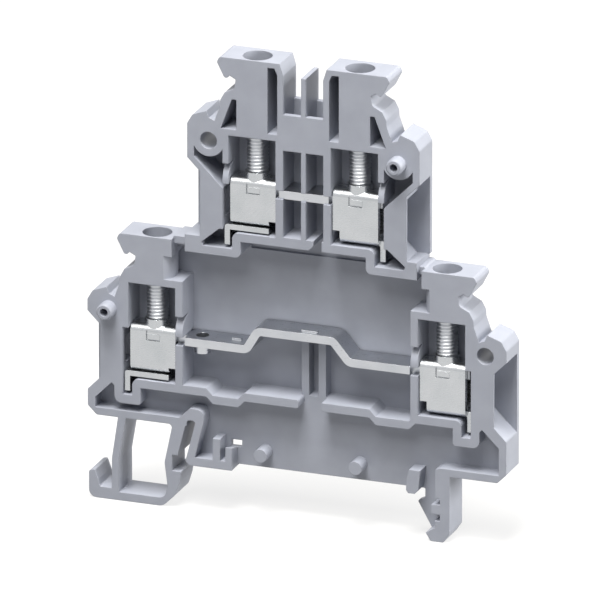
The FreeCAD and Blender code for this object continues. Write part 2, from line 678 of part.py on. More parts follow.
def bar_props():
    """The two ribs that carry the raised middle of the lower bar, flush with the body plate."""
    top = LOWER_BAR_TOP + HAT_RISE - BAR_SHEET
    foot = LOWER_BAR_TOP + SHELF_UNDER
    starts = (PROP_X, PROP_X + PROP_PITCH)
    return [block(x, x + RIB, BODY_FRONT, PLATE + OVERLAP, foot, top) for x in starts]


def studs():
    """Two solid studs on the body plate. Their ends are flush with the open side."""
    return [crosswise(x, STUD_Z, FRONT, BODY_FRONT + OVERLAP, STUD_RADIUS)
            for x in (LEFT_STUD_X, RIGHT_STUD_X)]


def from_rail(side, profile):
    """A profile given inward from one edge of the rail, as points of the block."""
    return [(side * (RAIL_HALF - point[0]), point[1]) + tuple(point[2:]) for point in profile]


def left_floor():
    """The floor of the body on the left, with the arch over the hinge slot and the rail seat."""
    start = LOWER_LEFT.axis - EAR_REACH + 1.5 * CORNER_CUT
    top = LEFT_UNDERSIDE + RIB
    arch_top = top + ARCH_RISE
    slot_foot = HINGE_X + HINGE_SLOT
    slot_top = slot_foot + HINGE_LEAN
    arch_end = slot_top + HINGE_WALL
    profile = [(slot_top - ARCH_START, top), (slot_top - ARCH_START + ARCH_RISE, arch_top, WIDE_ROUND),
               (arch_end, arch_top, WIDE_ROUND), (arch_end, HINGE_TOP), (slot_foot + HINGE_WALL, HINGE_FOOT),
               (SEAT_END, HINGE_FOOT), (SEAT_END, 0.0), (slot_foot + FINE_ROUND, 0.0, ROUND),
               (slot_foot - FINE_ROUND, HINGE_FOOT / 2), (slot_top, HINGE_TOP, ROUND),
               (slot_top - HINGE_SLOT, HINGE_TOP, ROUND), (slot_top - HINGE_SLOT, LEFT_UNDERSIDE)]
    floor = prism([(start, LEFT_UNDERSIDE), (start, top)] + from_rail(-1, profile), FRONT, BACK)
    low = HINGE_FOOT - OVERLAP
    end = BODY_FRONT + OVERLAP
    post = block(POST_X - RAIL_HALF, POST_X + RIB - RAIL_HALF, FRONT, end, low, POST_TOP)
    step = side_prism([(FRONT, low), (FRONT, STEP_TOP), (end, WINDOW_Z - OVERLAP), (end, low)],
                      STEP_X - RAIL_HALF, SEAT_END - RAIL_HALF)
    return floor.fuse([post, step])


def snap_foot():
    """The springy foot that catches the left edge of the rail."""
    ledge = -RAIL_SHEET - RAIL_GRIP
    root = HINGE_TOP - OVERLAP
    arm = [(HINGE_X + HINGE_LEAN, root), (HINGE_X, HINGE_FOOT), (0.0, HINGE_FOOT), (0.0, ledge),
           (LEDGE_REACH, ledge, FINE_ROUND)]
    toe = [(FOOT_REACH + point[0], point[1]) + tuple(point[2:]) for point in TOE_PROFILE]
    outer_x = FOOT_WALL_X - FOOT_SHIFT
    back = [(outer_x, TOE_PROFILE[-1][1]), (outer_x, FOOT_KNEE, KNEE_ROUND), (FOOT_WALL_X, root)]
    outline = arm + list(TIP_PROFILE) + toe + back
    x0 = FOOT_WALL_X + FOOT_WALL
    room = [(x0, LEFT_UNDERSIDE)] + list(ROOM_PROFILE)
    room += [(x0 - FOOT_SHIFT, FOOT_UNDERSIDE + FOOT_FLOOR), (x0 - FOOT_SHIFT, FOOT_KNEE, KNEE_ROUND)]
    foot = prism(from_rail(-1, outline), FRONT, BACK)
    return foot.cut(prism(from_rail(-1, room), FRONT - THROUGH, BACK + THROUGH))


def fixed_leg():
    """The stiff leg on the right with its two notches, and the floor of the body above it."""
    x0 = RAIL_HALF + LEG_X
    x1 = x0 + LEG_LENGTH
    top = RIGHT_UNDERSIDE + RIB
    end = LOWER_RIGHT.axis + EAR_REACH - 1.5 * CORNER_CUT
    floor = [(x0, top - LEG_LAP), (x0 + LEG_NOTCH, top), (end, top), (end, RIGHT_UNDERSIDE),
             (x1, RIGHT_UNDERSIDE)]
    foot = [(x0 + point[0], FOOT_UNDERSIDE + point[1]) + tuple(point[2:]) for point in LEG_FOOT_PROFILE]
    teeth = [(x0 + out, z) for out, z in LEG_TEETH]
    return prism(floor + foot + teeth, FRONT, BACK)


def rail_stop():
    """The short full-depth block above the right edge of the rail."""
    return prism(from_rail(1, STOP_PROFILE), FRONT, BACK)


def foot_window():
    """The small window in the body plate above the step of the rail seat."""
    x0 = WINDOW_X - RAIL_HALF
    return block(x0, x0 + WINDOW_LENGTH, BODY_FRONT - OVERLAP, BODY_BACK + OVERLAP, WINDOW_Z,
                 WINDOW_Z + WINDOW_HEIGHT)


def housing():
    """The one-piece moulding."""
    solids = [upper_block(UPPER_LEFT), upper_block(UPPER_RIGHT)]
    solids += [lower_block(LOWER_LEFT, LEFT_UNDERSIDE), lower_block(LOWER_RIGHT, RIGHT_UNDERSIDE)]
    solids += [neck_tube(LOWER_LEFT), neck_tube(LOWER_RIGHT), upper_middle()]
    solids += [arm(UPPER_LEFT, LOWER_LEFT, LINK_LEFT), arm(UPPER_RIGHT, LOWER_RIGHT, LINK_RIGHT)]
    solids += tier_backs() + [body_plate(), shelf_link()]
    wall = CHAMBER_HALF + OVERLAP
    solids.append(shelf(LOWER_LEFT.axis + wall, 1, LEFT_DIP, LEFT_SHELF_END, ROUND))
    solids.append(shelf(LOWER_RIGHT.axis - wall, -1, RIGHT_DIP, RIGHT_SHELF_END, 0))
    solids += bar_props() + studs()
    solids += [left_floor(), snap_foot(), fixed_leg(), rail_stop()]
    solids += [peg(LOWER_LEFT), peg(UPPER_RIGHT)]
    body = solids[0].fuse(solids[1:])
    cuts = []
    for station in STATIONS:
        cuts += [chamber(station), rounded_gap(station), bar_passage(station), screw_bore(station)]
        cuts.append(funnel(station))
        if station.upper:
            cuts += tower_pockets(station)
    cuts += middle_pockets()
    cuts += [peg_hole(LOWER_LEFT), peg_hole(UPPER_RIGHT), socket(UPPER_LEFT), socket(LOWER_RIGHT)]
    cuts.append(foot_window())
    return body.cut(cuts).removeSplitter()


def neck_band():
    """The front and back of a bar's neck, where it passes inside the cages."""
    half = CAGE_DEPTH / 2 - CAGE_SHEET - NECK_PLAY
    return AXIS_Y - half, AXIS_Y + half


def upper_bar():
    """The flat current bar of the upper tier, with a narrow neck at each end."""
    top = UPPER_BAR_TOP
    low = top - BAR_SHEET
    y0, y1 = neck_band()
    neck = block(UPPER_LEFT.axis - NECK_REACH, UPPER_RIGHT.axis + NECK_REACH, y0, y1, low, top)
    wide = block(UPPER_LEFT.axis + UPPER_SHOULDER, UPPER_RIGHT.axis - UPPER_SHOULDER, BAR_FRONT, BAR_BACK,
                 low, top)
    return neck.fuse(wide).removeSplitter()


def lower_bar():
    """The lower current bar, bent up in the middle, with its pressed button, dimple and nib."""
    top = LOWER_BAR_TOP
    low = top - BAR_SHEET
    hat = top + HAT_RISE
    left = LOWER_LEFT.axis + LOWER_SHOULDER
    right = LOWER_RIGHT.axis - LOWER_SHOULDER
    start = LOWER_CENTRE + HAT_SHIFT - HAT_LENGTH / 2
    end = start + HAT_LENGTH
    foot = start - LEFT_RUN
    shift = BAR_SHEET * math.tan(math.atan2(HAT_RISE, LEFT_RUN) / 2)
    right_shift = BAR_SHEET * math.tan(math.atan2(HAT_RISE, RIGHT_RUN) / 2)
    inner_r = HAT_RADIUS - BAR_SHEET / 2
    outer_r = HAT_RADIUS + BAR_SHEET / 2
    over = [(left, top), (foot, top, inner_r), (start, hat, outer_r),
            (end, hat, outer_r), (end + RIGHT_RUN, top, inner_r), (right, top)]
    under = [(right, low), (end + RIGHT_RUN - right_shift, low, outer_r),
             (end - right_shift, low + HAT_RISE, inner_r), (start + shift, low + HAT_RISE, inner_r),
             (foot + shift, low, outer_r), (left, low)]
    y0, y1 = neck_band()
    lap = BAR_SHEET / 2
    middle = (BAR_FRONT + BAR_BACK) / 2
    button_x = left + BUTTON_SHARE * (foot - left)
    pieces = [block(LOWER_LEFT.axis - NECK_REACH, left + lap, y0, y1, low, top)]
    pieces.append(block(right - lap, LOWER_RIGHT.axis + NECK_REACH, y0, y1, low, top))
    pieces.append(upright(button_x, middle, low - BUTTON_HEIGHT, low + OVERLAP, BUTTON_DIAMETER / 2))
    pieces.append(nib(left + FLAT_NIB_SHARE * (foot - left), FLAT_NIB_LENGTH, FLAT_NIB_DEPTH, top))
    pieces.append(nib(start + HAT_NIB_SHARE * HAT_LENGTH, HAT_NIB_LENGTH, HAT_NIB_DEPTH, hat))
    dent = upright(button_x, middle, low - BUTTON_HEIGHT + BUTTON_WALL, top + THROUGH,
                   BUTTON_DIAMETER / 2 - BUTTON_WALL)
    return prism(over + under, BAR_FRONT, BAR_BACK).fuse(pieces).cut(dent).removeSplitter()


def nib(x, length, depth, face):
    """A small raised nib on a face of the bar, the given depth behind its front edge."""
    y0 = BAR_FRONT + depth
    return block(x - length / 2, x + length / 2, y0, y0 + NIB_WIDTH, face - OVERLAP, face + NIB_HEIGHT)


def clamp_cage():
    """A clamp cage in its own place: axis at X 0 and Y 0, underside at Z 0, leg towards -X."""
    half = CAGE_DEPTH / 2
    sheet = CAGE_SHEET
    out = sheet + CAGE_BEND
    lap = sheet + SEAM_GAP
    end = half - sheet - CAGE_BEND
    section = [(-half, 0), (half, 0, out), (half, CAGE_HEIGHT, out), (-half, CAGE_HEIGHT, out),
               (-half, lap, out), (end, lap), (end, lap + sheet), (sheet - half, lap + sheet, CAGE_BEND),
               (sheet - half, CAGE_HEIGHT - sheet, CAGE_BEND), (half - sheet, CAGE_HEIGHT - sheet, CAGE_BEND),
               (half - sheet, sheet, CAGE_BEND), (-half, sheet)]
    x1 = CAGE_LENGTH / 2
    leg_x = -x1 - CAGE_TONGUE
    leg = [(leg_x, sheet, ROUND), (sheet - x1, sheet), (sheet - x1, 0), (leg_x + sheet, 0),
           (leg_x + sheet, -LEG_DROP), (leg_x, -LEG_DROP)]
    ring_top = CAGE_HEIGHT + COLLAR_HEIGHT
    thread = THREAD_DIAMETER / 2 + THREAD_PLAY
    ring = upright(0, 0, CAGE_HEIGHT - sheet, ring_top, thread + COLLAR_WALL)
    shell = side_prism(section, -x1, x1).fuse([prism(leg, -half, LEG_WIDTH - half), ring])
    notch = block(x1 - CAGE_NOTCH_LENGTH, x1 + THROUGH, -half - THROUGH, half + THROUGH, -THROUGH,
                  CAGE_NOTCH_HEIGHT)
    shell = shell.cut([thread_hole(thread, ring_top), notch])
    for turn in (0, 180):
        tab, cuts = lance()
        for shape in [tab] + cuts:
            shape.rotate(Vector(0, 0, 0), Vector(0, 0, 1), turn)
        shell = shell.cut(cuts).fuse(tab)
    return shell.removeSplitter()


def thread_hole(radius, top):
    """The tapped hole. It runs on down the walls as far as the screw comes in when the cage is up."""
    screw_end = TIP_GAP - CAGE_FLOOR - CAGE_TRAVEL
    return upright(0, 0, screw_end - SHANK_PLAY, top + THROUGH, radius)


def lance():
    """The lanced tab in a side of the cage, as the raised tab and the cuts round it."""
    face = -CAGE_DEPTH / 2
    depth = face + LANCE_DEPTH
    x0 = -LANCE_LENGTH / 2
    top = CAGE_HEIGHT - CAGE_SHEET - CAGE_BEND
    z0 = top - LANCE_HEIGHT
    cuts = [block(x0, x0 + LANCE_CUT, face - THROUGH, depth, z0, top + LANCE_RISE)]
    cuts.append(block(x0, -x0, face - THROUGH, depth, z0, z0 + LANCE_CUT))
    tab = block(x0 + LANCE_CUT, -x0, face - LANCE_PROUD, depth, z0 + LANCE_CUT, top - LANCE_DROP)
    return tab, cuts


def clamp_screw():
    """A slotted clamping screw on the Z axis, with the end of its tip at Z 0."""
    thread = THREAD_DIAMETER / 2
    tip = TIP_DIAMETER / 2
    seat = HEAD_SEAT + SEAT_GAP - TIP_GAP
    top = seat + HEAD_HEIGHT
    head = HEAD_DIAMETER / 2
    profile = [(0, 0), (tip, 0), (tip, TIP_LENGTH), (thread, TIP_LENGTH), (thread, seat), (head, seat),
               (head, top), (0, top)]
    wire = closed_wire(profile, lambda r, z: Vector(r, 0, z))
    body = Part.Face(wire).revolve(Vector(0, 0, 0), Vector(0, 0, 1), 360)
    slot = block(-head - THROUGH, head + THROUGH, -SLOT_WIDTH / 2, SLOT_WIDTH / 2, top - SLOT_DEPTH,
                 top + THROUGH)
    return body.cut(slot)


def placed(shape, station, height):
    """A copy of a clamp part at a station. On the right the part is turned half round."""
    copy = shape.copy()
    if station.side > 0:
        copy.rotate(Vector(0, 0, 0), Vector(0, 0, 1), 180)
    copy.translate(Vector(station.axis, AXIS_Y, station.bar_top + height))
    return copy


def main():
    os.makedirs("parts", exist_ok=True)
    nodes = {"housing": housing(), "current_bar_upper": upper_bar(), "current_bar_lower": lower_bar()}
    cage = clamp_cage()
    screw = clamp_screw()
    for station in STATIONS:
        nodes["clamp_cage_" + station.name] = placed(cage, station, CAGE_FLOOR)
        nodes["clamp_screw_" + station.name] = placed(screw, station, TIP_GAP)
    for name, shape in nodes.items():
        print(name, "solids", len(shape.Solids), "valid", shape.isValid(), "volume", round(shape.Volume, 2))
        shape.exportStep("parts/" + name + ".step")


main()
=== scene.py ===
# %% [markdown]
# # A double level terminal block
#
# The real block is one open moulding in grey polyamide. Two plated current bars lie in it, and at each of
# their four ends a folded steel cage hangs on a slotted screw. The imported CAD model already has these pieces
# at their true size, so this script loads it and gives each piece its finish. It makes two things anew: the
# level ledges beside the upper tier, which the CAD housing lacks, and screws with a real thread. Then it sets
# up the floor, the light and the camera.

# %% Load the frame
import math

import bmesh
import bpy
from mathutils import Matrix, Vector


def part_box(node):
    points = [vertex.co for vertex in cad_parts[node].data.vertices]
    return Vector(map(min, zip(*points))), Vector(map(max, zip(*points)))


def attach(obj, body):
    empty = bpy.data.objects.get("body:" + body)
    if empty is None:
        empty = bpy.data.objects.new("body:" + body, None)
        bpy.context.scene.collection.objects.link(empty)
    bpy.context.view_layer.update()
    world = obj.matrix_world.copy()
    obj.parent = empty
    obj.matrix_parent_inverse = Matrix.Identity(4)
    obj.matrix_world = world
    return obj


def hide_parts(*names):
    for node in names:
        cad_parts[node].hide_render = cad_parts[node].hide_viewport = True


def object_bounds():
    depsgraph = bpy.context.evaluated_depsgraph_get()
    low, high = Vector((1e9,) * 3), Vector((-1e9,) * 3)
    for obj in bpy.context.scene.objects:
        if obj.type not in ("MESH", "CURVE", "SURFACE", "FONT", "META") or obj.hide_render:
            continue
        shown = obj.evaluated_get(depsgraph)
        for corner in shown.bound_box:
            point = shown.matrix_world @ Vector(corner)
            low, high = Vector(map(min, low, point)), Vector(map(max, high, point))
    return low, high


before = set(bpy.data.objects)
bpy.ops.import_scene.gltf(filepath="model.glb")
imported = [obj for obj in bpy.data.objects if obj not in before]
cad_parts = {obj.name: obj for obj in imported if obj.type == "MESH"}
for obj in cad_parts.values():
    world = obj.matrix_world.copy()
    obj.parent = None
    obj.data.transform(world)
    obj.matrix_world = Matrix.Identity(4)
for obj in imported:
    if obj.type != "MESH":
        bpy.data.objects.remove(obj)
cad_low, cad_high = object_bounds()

MM = 0.001
print("CAD box, mm:", [round(v / MM, 2) for v in (*cad_low, *cad_high)])

# %% [markdown]
# ## Helpers for objects
#
# In Blender an object is a place that shows some data: a mesh, a lamp or a camera. It is seen once it is
# linked to the scene, so one function makes it and links it. Meshes are built as a bmesh, which is a mesh
# that can be edited; a second function turns a bmesh into a mesh and frees its memory. The camera and the
# lamps all look at the same point, so a third function puts a thing on a line of sight to it. Azimuth counts
# from the open side of the block to its right.

# %% Object helpers
LOOK_AT = Vector((-0.22, 0.0, 24.59)) * MM


def placed(name, data):
    """A new object with this data, linked to the scene."""
    thing = bpy.data.objects.new(name, data)
    bpy.context.scene.collection.objects.link(thing)
    return thing


def mesh_of(name, shape):
    """Turns a bmesh into a mesh and frees the bmesh."""
    mesh = bpy.data.meshes.new(name)
    shape.to_mesh(mesh)
    shape.free()
    return mesh


def aim(thing, azimuth, elevation, distance):
    """Puts a camera or a lamp at two angles in degrees and a distance in mm, and turns it to the block."""
    around = math.radians(azimuth)
    up = math.radians(elevation)
    outwards = Vector((math.sin(around) * math.cos(up), -math.cos(around) * math.cos(up), math.sin(up)))
    thing.location = LOOK_AT + outwards * distance * MM
    thing.rotation_mode = "QUATERNION"
    thing.rotation_quaternion = outwards.to_track_quat("Z", "Y")


print("looking at, mm:", [round(v / MM, 2) for v in LOOK_AT])

# %% [markdown]
# ## The camera
#
# The photograph was taken from so far away that parallel edges stay parallel. A very long lens does the same:
# 1200 mm on a 36 mm sensor, from 2.7 m, which makes the picture 80 mm wide at the block. The camera stands a
# little to the right of the open side and looks down by 20 degrees.

# %% Camera
FRAME_WIDTH = 80.0
LENS = 1200.0
SENSOR = 36.0
CLIP_NEAR = 10.0
CLIP_FAR = 10000.0
CAMERA_AZIMUTH = 20.4
CAMERA_ELEVATION = 20.0

camera_data = bpy.data.cameras.new("camera")
camera_data.lens = LENS
camera_data.sensor_width = SENSOR
camera_data.clip_start = CLIP_NEAR * MM
camera_data.clip_end = CLIP_FAR * MM
camera = placed("camera", camera_data)
aim(camera, CAMERA_AZIMUTH, CAMERA_ELEVATION, FRAME_WIDTH * LENS / SENSOR)
bpy.context.scene.camera = camera
print("camera at, mm:", [round(v / MM) for v in camera.location])

# %% [markdown]
# ## Helpers for materials
#
# Colours are picked as sRGB hex values, as in any paint program, but shaders count in linear light, so one
# function turns them. A second one adds a node with its settings and its links, so that each material below
# reads as a short list. Object coordinates are in metres; times 1000 they are millimetres, and the scale of
# each pattern can then be worked out from a real size.

# %% Colour, nodes and an empty material
def linear(hex_code):
    """An sRGB hex value as linear red, green, blue and alpha."""
    parts = [int(hex_code[i:i + 2], 16) / 255 for i in (1, 3, 5)]
    turned = [p / 12.92 if p <= 0.04045 else ((p + 0.055) / 1.055) ** 2.4 for p in parts]
    return (*turned, 1.0)


def add(tree, kind, settings=None, **sockets):
    """Adds a node. Settings are its properties; a socket gets a value, or a link from another output."""
    node = tree.nodes.new(kind)
    for name, value in (settings or {}).items():
        setattr(node, name, value)
    for name, value in sockets.items():
        socket = node.inputs[name.replace("_", " ")]
        if isinstance(value, bpy.types.NodeSocket):
            tree.links.new(value, socket)
        else:
            socket.default_value = value
    return node


def new_material(name):
    """An empty material with an output and a shader, and its coordinates in millimetres."""
    material = bpy.data.materials.new(name)
    material.use_nodes = True
    tree = material.node_tree
    tree.nodes.clear()
    shader = add(tree, "ShaderNodeBsdfPrincipled")
    add(tree, "ShaderNodeOutputMaterial", Surface=shader.outputs["BSDF"])
    place = add(tree, "ShaderNodeTexCoord").outputs["Object"]
    in_mm = add(tree, "ShaderNodeMapping", Vector=place, Scale=(1 / MM, 1 / MM, 1 / MM)).outputs["Vector"]
    return material, tree, shader, in_mm


print("material helpers ready")

# %% [markdown]
# ## What moulded and plated surfaces share
#
# Up close, neither the moulding nor the plating has one even colour: it drifts between two close tones over a
# few millimetres. Both have rounded edges that catch the light, and a fine relief. Those three go into two
# functions. A Bevel node rounds only the shading of the edges, so the CAD meshes stay as they are. Roughness
# follows the same fine pattern as the relief, so that highlights break up with it.

# %% Colour drift, and relief with rounded edges
BEVEL_SAMPLES = 4
DRIFT_MM = 3.0


def drifting_colour(tree, shader, in_mm, tones):
    """A colour that drifts between two tones. Each tone is where it starts in the pattern and a hex value."""
    drift = add(tree, "ShaderNodeTexNoise", Vector=in_mm, Scale=1 / DRIFT_MM, Detail=2.0)
    ramp = add(tree, "ShaderNodeValToRGB", Fac=drift.outputs["Fac"])
    for element, (position, hex_code) in zip(ramp.color_ramp.elements, tones):
        element.position = position
        element.color = linear(hex_code)
    tree.links.new(ramp.outputs["Color"], shader.inputs["Base Color"])


def relief(tree, shader, pattern, strength, depth_mm, edge_mm, roughness):
    """Fine bumps on faces with rounded edges. The pattern also moves the roughness between two values."""
    rounded = add(tree, "ShaderNodeBevel", {"samples": BEVEL_SAMPLES}, Radius=edge_mm * MM)
    bump = add(tree, "ShaderNodeBump", Height=pattern, Strength=strength, Distance=depth_mm * MM,
               Normal=rounded.outputs["Normal"])
    tree.links.new(bump.outputs["Normal"], shader.inputs["Normal"])
    spread = add(tree, "ShaderNodeMapRange", Value=pattern, To_Min=roughness[0], To_Max=roughness[1])
    tree.links.new(spread.outputs["Result"], shader.inputs["Roughness"])


print("colours drift over", DRIFT_MM, "mm")

# %% [markdown]
# ## Moulded polyamide
#
# The housing is injection moulded in glass-free grey polyamide. The mould is spark eroded, which leaves a
# fine matt grain on every face, and the edges come out with a radius of about a tenth of a millimetre. That
# gives the eye a soft, slightly bluish grey with a thin light line along each edge. The grain of the real
# texture is about 0.05 mm; it is drawn at 0.12 mm so that it shows.

# %% Polyamide
POLYAMIDE_TONES = ((0.3, "#9397A3"), (0.7, "#999DA9"))
POLYAMIDE_IOR = 1.53
POLYAMIDE_ROUGHNESS = (0.42, 0.56)
MOULDED_EDGE_MM = 0.13
GRAIN_MM = 0.12
GRAIN_DEPTH_MM = 0.02
GRAIN_STRENGTH = 0.12

polyamide, tree, shader, in_mm = new_material("moulded_grey_polyamide")
grain = add(tree, "ShaderNodeTexNoise", Vector=in_mm, Scale=1 / GRAIN_MM, Detail=3.0, Roughness=0.6)
drifting_colour(tree, shader, in_mm, POLYAMIDE_TONES)
relief(tree, shader, grain.outputs["Fac"], GRAIN_STRENGTH, GRAIN_DEPTH_MM, MOULDED_EDGE_MM,
       POLYAMIDE_ROUGHNESS)
shader.inputs["IOR"].default_value = POLYAMIDE_IOR
print("polyamide:", len(tree.nodes), "nodes")

# %% [markdown]
# ## Plated metal
#
# The cages are folded from zinc-plated steel sheet, the current bars are stamped from tin-plated copper
# alloy, and the screws are zinc-plated steel. All three are pale metals, so they share one recipe: a metallic
# shader, faint rolling lines along the sheet, and the slow drift of the plating, which breaks up the
# reflections. Rolling lines are about 0.05 mm apart and are drawn at 0.1 mm. The lines on a screw run round
# it and are too fine to show, so the screws get a grain without a direction, drawn at 0.17 mm. The eye sees a
# satin grey that turns bright where it mirrors the studio.

# %% Metals
SHEET_LINES = (0.4, 10.0, 10.0)
SCREW_GRAIN = (6.0, 6.0, 6.0)
LINE_DEPTH_MM = 0.01
PLATED_EDGE_MM = 0.05
SMOOTHER, ROUGHER = 0.04, 0.06
DULL_FROM, DULL_TO = 0.35, 0.75


def plated(name, pale, dull, rough, lines, line_strength):
    """A plated metal. Lines are the scales of its rolling texture along x, y and z, in lines per mm."""
    material, tree, shader, in_mm = new_material(name)
    stretched = add(tree, "ShaderNodeMapping", Vector=in_mm, Scale=lines).outputs["Vector"]
    rolled = add(tree, "ShaderNodeTexNoise", Vector=stretched, Scale=1.0, Detail=2.0)
    drifting_colour(tree, shader, in_mm, ((DULL_FROM, pale), (DULL_TO, dull)))
    relief(tree, shader, rolled.outputs["Fac"], line_strength, LINE_DEPTH_MM, PLATED_EDGE_MM,
           (rough - SMOOTHER, rough + ROUGHER))
    shader.inputs["Metallic"].default_value = 1.0
    return material


zinc_sheet = plated("zinc_plated_folded_sheet", "#BABCBF", "#B2B5B8", 0.26, SHEET_LINES, 0.03)
tin_bar = plated("tin_plated_stamped_copper", "#BCBEC2", "#B2B5BA", 0.28, SHEET_LINES, 0.03)
zinc_screw = plated("zinc_plated_rolled_screw", "#D4D6D9", "#C8CACE", 0.34, SCREW_GRAIN, 0.05)
print("metals:", zinc_sheet.name, tin_bar.name, zinc_screw.name)

# %% [markdown]
# ## The finish of the CAD pieces
#
# The names of the CAD nodes say what they are, so a piece gets its material by how its name starts. Only the
# material slot changes, and the shape of a CAD mesh stays as it was packed.

# %% Give the CAD pieces their finish
FINISH = {"housing": polyamide, "current_bar": tin_bar, "clamp_cage": zinc_sheet, "clamp_screw": zinc_screw}

for name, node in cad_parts.items():
    for start, material in FINISH.items():
        if name.startswith(start):
            node.data.materials.clear()
            node.data.materials.append(material)
    print(name, "->", node.data.materials[0].name)

# %% [markdown]
# ## Taking off and adding
#
# The ledges and the slots of the screws are cut with booleans. A Boolean modifier needs a closed shape as its
# tool. It is surest when that tool is a single plain one, so each cut has a modifier and a tool of its own.
# Asking for the evaluated object gives the mesh with all modifiers done, and the tools can go.

# %% Boolean helper
def carve(piece, steps):
    """Takes tools off a piece, or adds them, in turn, and gives the finished mesh."""
    for operation, tool in steps:
        modifier = piece.modifiers.new(tool.name, "BOOLEAN")
        modifier.operation = operation
        modifier.solver = "EXACT"
        modifier.object = tool
    depsgraph = bpy.context.evaluated_depsgraph_get()
    finished = bpy.data.meshes.new_from_object(piece.evaluated_get(depsgraph))
    piece.modifiers.clear()
    for operation, tool in steps:
        bpy.data.objects.remove(tool)
    return finished


print("boolean helper ready")

# %% [markdown]
# ## Ledges beside the upper tier
#
# Under both ends of the upper tier the real moulding has a level ledge that runs into the lower tower beside
# it. The CAD housing has a sloping corner there, and a link that lies a little too low. A piece could be laid
# over the link, but a corner can only be taken off the body itself, so this step works on a copy of the
# housing. Three plain slabs do it at each end: one takes off the corner, one thins the floor of the wire
# funnel behind it, and one adds the higher link.
#
# The sizes are in millimetres. Edges and the link's start count outwards from the axis of the upper screw,
# and y runs from the open side to the closed back. The front web of the funnel is tapered: its inner side
# starts a lip behind the open side and goes deeper towards the screw.

# %% Ledge sizes
HOUSING_FRONT = -2.5
HOUSING_BACK = 2.5
PLATE_FRONT = 1.7
CUT_CLEAR = 1.0
WEB_EDGE = 7.4
WEB_LIP = 0.26
WEB_TAPER = 0.263
CORNER_EDGE = 9.1
LEDGE_TOP = 32.85
FUNNEL_FLOOR = 35.7
FUNNEL_CLEAR = 0.3
LINK_START = 8.4
LINK_FRONT = -1.5
LINK_LOW = 31.0
LINK_TOP = 32.05
LINK_LAP = 0.25
TOWER_FACES = {"upper_left": -17.58, "upper_right": 17.92}
print("ledge top, mm:", LEDGE_TOP)

# %% [markdown]
# A slab starts as one flat face at its back. Extruding that face makes the walls and a second face, which is
# still in the same place. Its corners then move forward, each to its own front, so a slab can be tapered.

# %% A closed slab
def slab(name, places, back):
    """A closed slab. Each place is one corner of its outline: x, the front y there, and z, in mm."""
    shape = bmesh.new()
    verts = [shape.verts.new(Vector((x, back, z)) * MM) for x, front, z in places]
    fronts = {tuple(vert.co.xz): front for vert, (x, front, z) in zip(verts, places)}
    made = bmesh.ops.extrude_face_region(shape, geom=[shape.faces.new(verts)])["geom"]
    for vert in made:
        if isinstance(vert, bmesh.types.BMVert):
            vert.co.y = fronts[tuple(vert.co.xz)] * MM
    bmesh.ops.recalc_face_normals(shape, faces=shape.faces)
    return placed(name, mesh_of(name, shape))


print("slab maker ready")

# %% The two slabs that are taken off
def corner(axis, side):
    """What stands outside the front web above the ledge."""
    outline = [(WEB_EDGE, LEDGE_TOP), (CORNER_EDGE, LEDGE_TOP),
               (CORNER_EDGE, FUNNEL_FLOOR), (WEB_EDGE, FUNNEL_FLOOR)]
    places = [(axis + side * out, HOUSING_FRONT - CUT_CLEAR, z) for out, z in outline]
    return slab("corner", places, PLATE_FRONT)


def funnel_floor(axis, side):
    """The part of the funnel's floor that lies above its true slope, behind the tapered front web."""
    root = WEB_EDGE + LEDGE_TOP - FUNNEL_FLOOR
    end = WEB_EDGE + FUNNEL_CLEAR
    top = FUNNEL_FLOOR + FUNNEL_CLEAR
    outline = [(end, LEDGE_TOP), (end, top), (root, top), (root, FUNNEL_FLOOR), (WEB_EDGE, LEDGE_TOP)]
    web_back = HOUSING_FRONT + WEB_LIP
    places = [(axis + side * out, web_back + (WEB_EDGE - out) * WEB_TAPER, z) for out, z in outline]
    return slab("funnel_floor", places, PLATE_FRONT)


print("the funnel's floor rises by", round(FUNNEL_FLOOR - LEDGE_TOP, 2), "mm")

# %% The slab that is added
def link(axis, side, tower):
    """The link between the end of the ledge and the lower tower, with a short slope onto its top."""
    start = axis + side * LINK_START
    end = tower + side * LINK_LAP
    outline = [(start, LINK_LOW), (end, LINK_LOW), (end, LINK_TOP - LINK_LAP),
               (tower, LINK_TOP), (start, LINK_TOP)]
    return slab("link", [(x, LINK_FRONT, z) for x, z in outline], HOUSING_BACK)


print("the link is", round(LINK_TOP - LINK_LOW, 2), "mm high")

# %% Make the slabs of both ends
tools = []
for station, tower_face in TOWER_FACES.items():
    screw_low, screw_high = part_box("clamp_screw_" + station)
    screw_axis = (screw_low.x + screw_high.x) / 2 / MM
    outward = math.copysign(1, tower_face)
    tools.append(("DIFFERENCE", corner(screw_axis, outward)))
    tools.append(("DIFFERENCE", funnel_floor(screw_axis, outward)))
    tools.append(("UNION", link(screw_axis, outward, tower_face)))
print("tools:", [tool.name for operation, tool in tools])

# %% [markdown]
# ## The housing with its ledges
#
# A CAD mesh is loose triangles, and a boolean wants a closed body, so the copy is merged before it is carved.
# Where a cut runs very near an old edge it leaves slivers, which can break a printed or simulated mesh. Those
# thinner than 0.002 mm are dissolved, and the count of open edges shows that the body is still closed. A mesh
# can come out of a boolean with more than one material slot, so each face is told to use the first.

# %% Carve the copy of the housing
MERGE_MM = 0.001

merged = bmesh.new()
merged.from_mesh(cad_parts["housing"].data)
bmesh.ops.remove_doubles(merged, verts=merged.verts, dist=MERGE_MM * MM)
housing = placed("housing_with_ledges", mesh_of("housing_copy", merged))
housing.data = carve(housing, tools)
print("carved:", len(housing.data.polygons), "faces")

# %% Clean it
SLIVER_MM = 0.002

